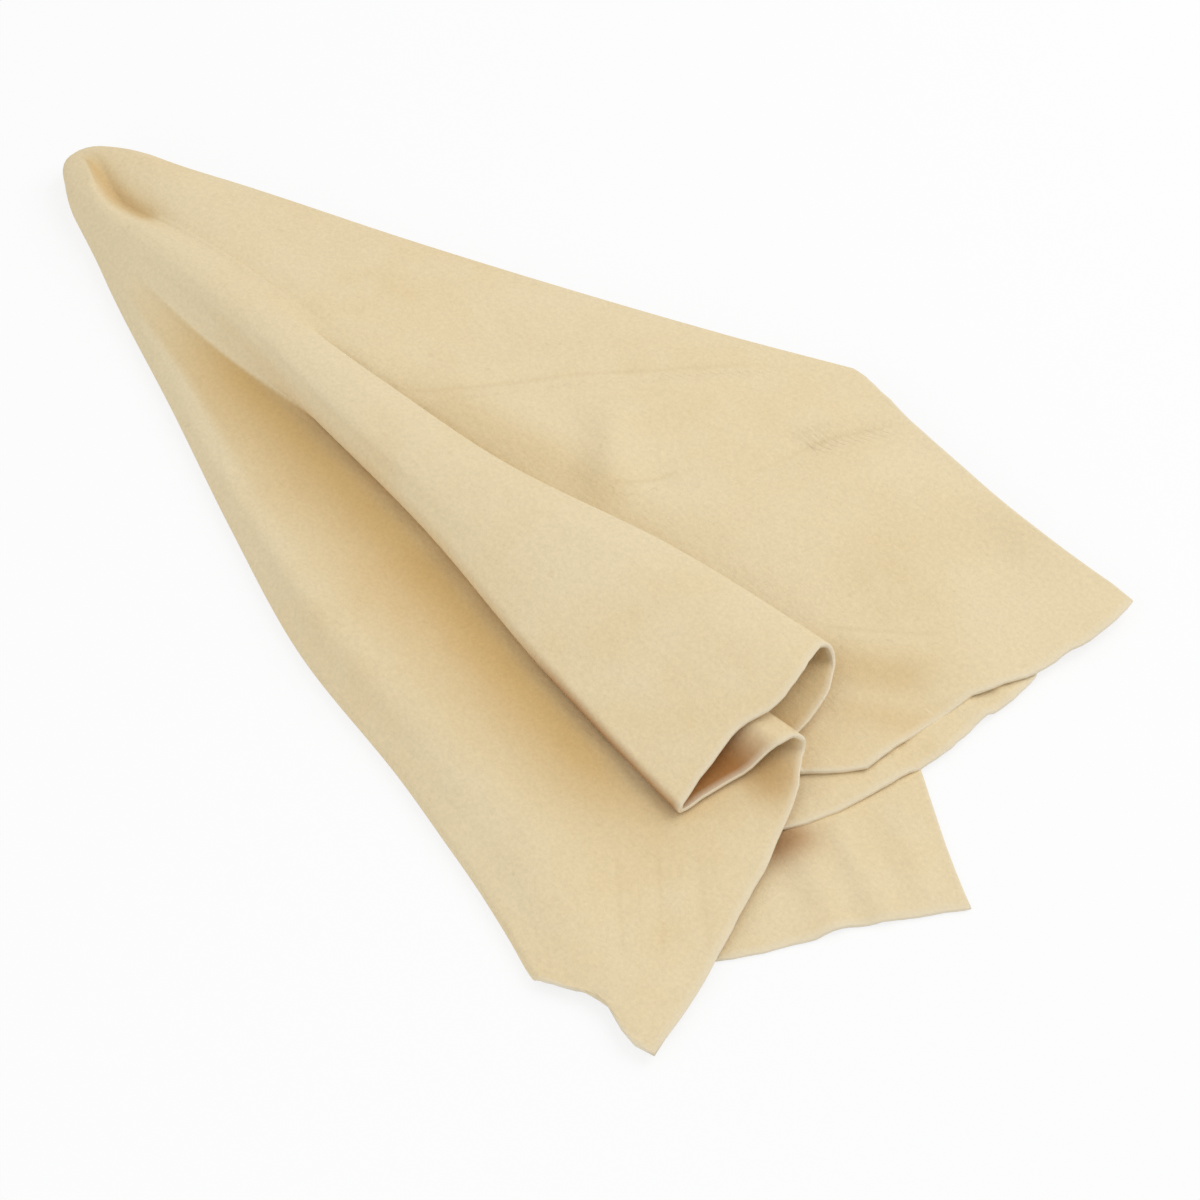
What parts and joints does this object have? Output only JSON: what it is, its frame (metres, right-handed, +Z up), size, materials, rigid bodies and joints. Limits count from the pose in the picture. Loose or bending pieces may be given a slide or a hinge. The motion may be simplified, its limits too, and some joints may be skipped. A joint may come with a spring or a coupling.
{
  "type": "chamois leather",
  "caption": "Soft suede drying and polishing leather, one cut sheet lying in long folds that spread from a blunt nose to an open mouth.",
  "frame": {"origin": "middle of the bounding box in plan, on the flat face that the leather lies on", "axes": "+X from the blunt nose of the folds to their open mouth, +Y to the wide panel's side, +Z up, with the roll on top"},
  "size_m": [0.4088, 0.2252, 0.0239],
  "materials": {
    "suede": "brushed suede on both faces, matt"
  },
  "bodies": {
    "root": {"chamois_sheet": "suede"}
  },
  "joints": []
}
